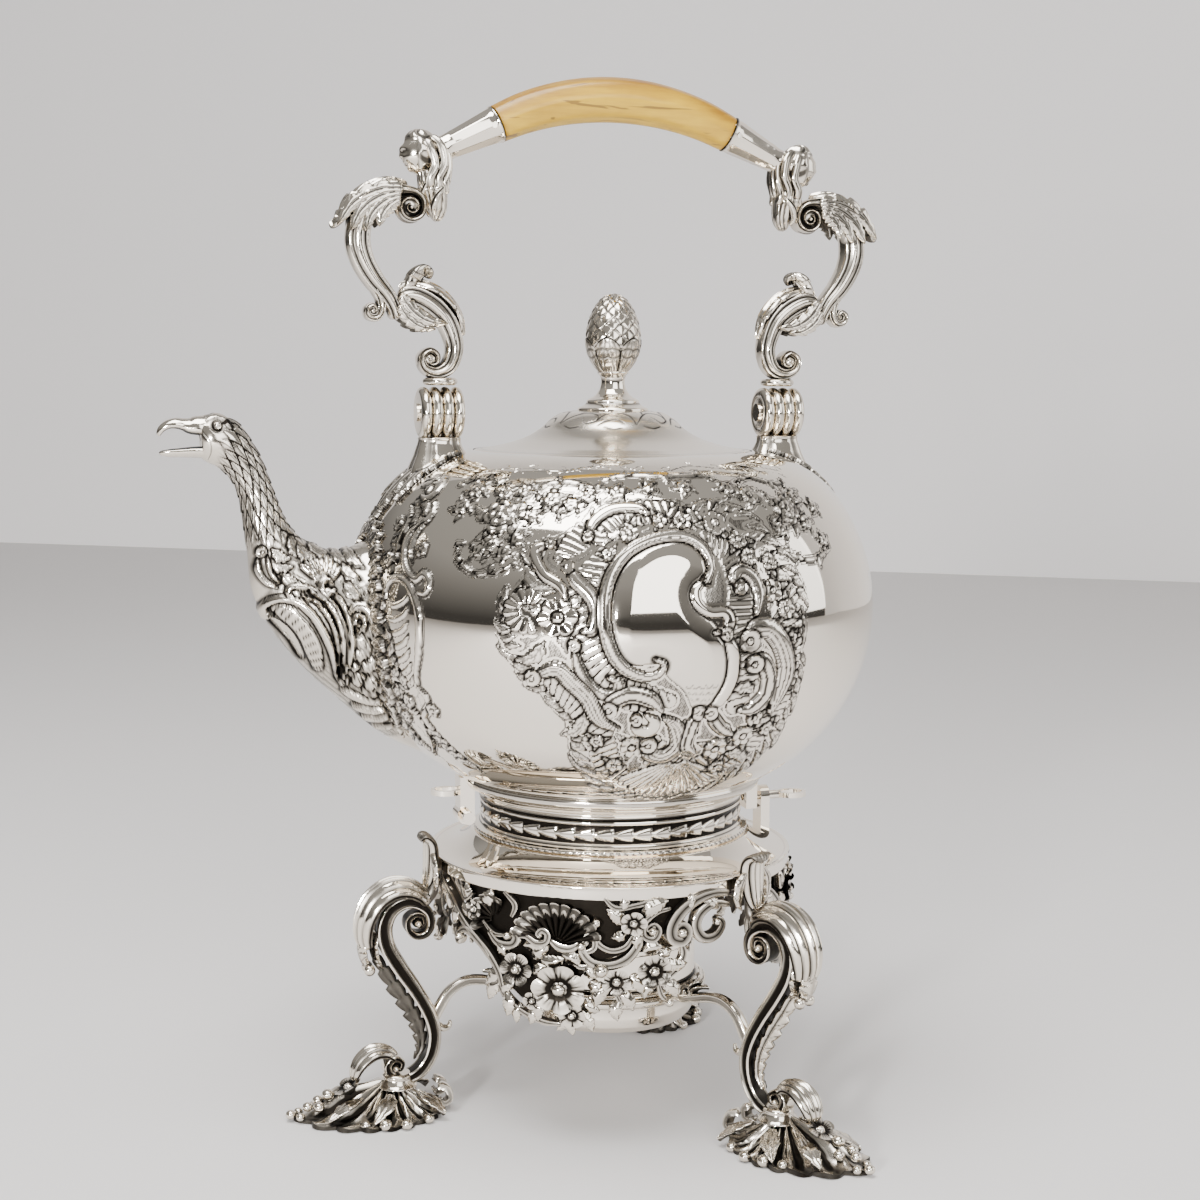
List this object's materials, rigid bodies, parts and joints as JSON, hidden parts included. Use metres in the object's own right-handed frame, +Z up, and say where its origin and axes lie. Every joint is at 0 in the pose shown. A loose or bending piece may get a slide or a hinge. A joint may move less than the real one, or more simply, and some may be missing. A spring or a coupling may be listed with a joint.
{
  "type": "tea kettle on lamp stand",
  "caption": "Silver tea kettle with a swing handle and bird-head spout, tilting on a footed stand with a spirit lamp.",
  "frame": {"origin": "on the floor under the axis of the kettle's body and of the stand's plate", "axes": "+Z up, the spout points along -X, the lid's hinge is on the +Y side"},
  "size_m": [0.2571, 0.2049, 0.3627],
  "materials": {
    "silver": "polished silver, chased, dark in its hollows",
    "grip_bone": "polished warm yellow bone",
    "wick_cotton": "woven cotton"
  },
  "bodies": {
    "stand": {"stand_plate": "silver", "stand_collar": "silver", "lamp_ring": "silver", "leg_spout": "silver", "foot_spout": "silver", "leg_cap_spout": "silver", "strut_spout": "silver", "leg_front": "silver", "foot_front": "silver", "leg_cap_front": "silver", "strut_front": "silver", "leg_rear": "silver", "foot_rear": "silver", "leg_cap_rear": "silver", "strut_rear": "silver", "apron_front": "silver", "apron_right": "silver", "apron_back": "silver", "hinge_bracket": "silver", "lock_bracket": "silver"},
    "kettle": {"kettle_body": "silver", "kettle_foot": "silver", "mouth_ring": "silver", "spout": "silver", "bird_head": "silver", "spout_mount": "silver", "handle_ear_right": "silver", "handle_ear_left": "silver", "handle_pins": "silver", "hinge_lug": "silver", "thumb_ring": "silver", "lock_lug": "silver", "lid_hinge_knuckles": "silver", "lid_hinge_pin": "silver"},
    "lid": {"lid_cover": "silver", "lid_flange": "silver", "lid_knuckle": "silver", "finial_base": "silver", "finial_cone": "silver", "finial_nut": "silver"},
    "handle": {"handle_arm_right": "silver", "handle_bust_right": "silver", "handle_ferrule_right": "silver", "handle_arm_left": "silver", "handle_bust_left": "silver", "handle_ferrule_left": "silver", "handle_grip": "grip_bone", "grip_pins": "silver"},
    "hinge_pin": {"hinge_pin": "silver"},
    "lock_pin": {"lock_pin": "silver"},
    "lamp": {"lamp_bowl": "silver"},
    "lamp_top": {"lamp_cover": "silver", "wick_tube": "silver", "wick": "wick_cotton"}
  },
  "joints": [
    {"name": "kettle_tilt", "type": "hinge", "parent": "stand", "child": "kettle", "pos_m": [-0.0542, 0, 0.1064], "axis": [0, -1, 0], "range_deg": [0, 45]},
    {"name": "handle_swing", "type": "hinge", "parent": "kettle", "child": "handle", "pos_m": [0, 0, 0.2473], "axis": [1, 0, 0], "range_deg": [-85, 85]},
    {"name": "lid_hinge", "type": "hinge", "parent": "kettle", "child": "lid", "pos_m": [0, 0.04915, 0.2348], "axis": [-1, 0, 0], "range_deg": [0, 85]},
    {"name": "hinge_pin_pull", "type": "slide", "parent": "stand", "child": "hinge_pin", "axis": [0, -1, 0], "range_m": [0, 0.016]},
    {"name": "lock_pin_push", "type": "slide", "parent": "stand", "child": "lock_pin", "axis": [-1, 0, 0], "range_m": [0, 0.0042]},
    {"name": "lamp_lift", "type": "slide", "parent": "stand", "child": "lamp", "axis": [0, 0, 1], "range_m": [0, 0.018]},
    {"name": "lamp_cover_lift", "type": "slide", "parent": "lamp", "child": "lamp_top", "axis": [0, 0, 1], "range_m": [0, 0.014]}
  ]
}
